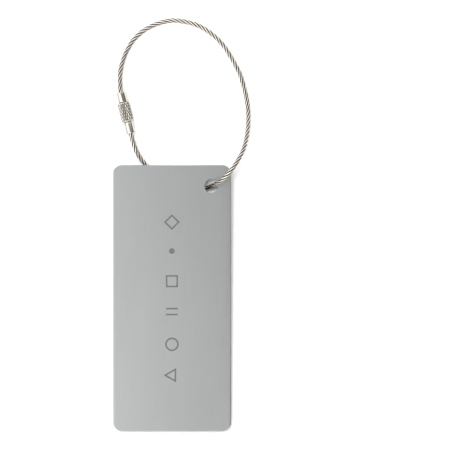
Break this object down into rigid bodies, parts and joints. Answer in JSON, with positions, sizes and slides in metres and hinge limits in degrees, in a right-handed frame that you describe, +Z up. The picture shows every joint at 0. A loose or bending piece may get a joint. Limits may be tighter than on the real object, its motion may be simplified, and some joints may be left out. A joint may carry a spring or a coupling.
{
  "type": "luggage tag",
  "caption": "Flat metal luggage tag with a name plate that slides out of its folded case, on a wire-rope loop closed by a screw lock.",
  "frame": {"origin": "middle of the tag's outline, on the surface that it lies on", "axes": "+X across the tag towards the hole's side, +Y along the tag towards the end with the hole, +Z up; the tag's front faces up"},
  "size_m": [0.0466, 0.1399, 0.0116],
  "materials": {
    "case_aluminium": "satin, finely brushed along the tag, clear anodised",
    "plate_aluminium": "satin, finely brushed along the plate",
    "black_plastic": "satin moulded",
    "stainless_rope": "twisted bright wires",
    "polished_nickel": "polished, the barrel knurled"
  },
  "bodies": {
    "tag": {"case": "case_aluminium", "guide_strip_hole_side": "black_plastic", "guide_strip_far_side": "black_plastic"},
    "plate": {"name_plate": "plate_aluminium"},
    "loop": {"cable_fixed_half": "stainless_rope", "swivel_ferrule": "polished_nickel"},
    "loop_end": {"cable_free_half": "stainless_rope", "stud_ferrule": "polished_nickel"},
    "barrel": {"lock_barrel": "polished_nickel"}
  },
  "joints": [
    {"name": "plate_slide", "type": "slide", "parent": "tag", "child": "plate", "axis": [0, 0.999, 0.0436], "range_m": [0, 0.092]},
    {"name": "loop_swing", "type": "hinge", "parent": "tag", "child": "loop", "pos_m": [0.0134, 0.03795, 0.0051], "axis": [0, 0, 1], "range_deg": [-75, 12]},
    {"name": "loop_open", "type": "hinge", "parent": "loop", "child": "loop_end", "pos_m": [0.024, 0.0729, 0.00082], "axis": [0, 0, -1], "range_deg": [0, 25]},
    {"name": "barrel_turn", "type": "hinge", "parent": "loop", "child": "barrel", "pos_m": [-0.0158, 0.063, 0.0021], "axis": [-0.2425, 0.9702, 0], "continuous": true}
  ]
}
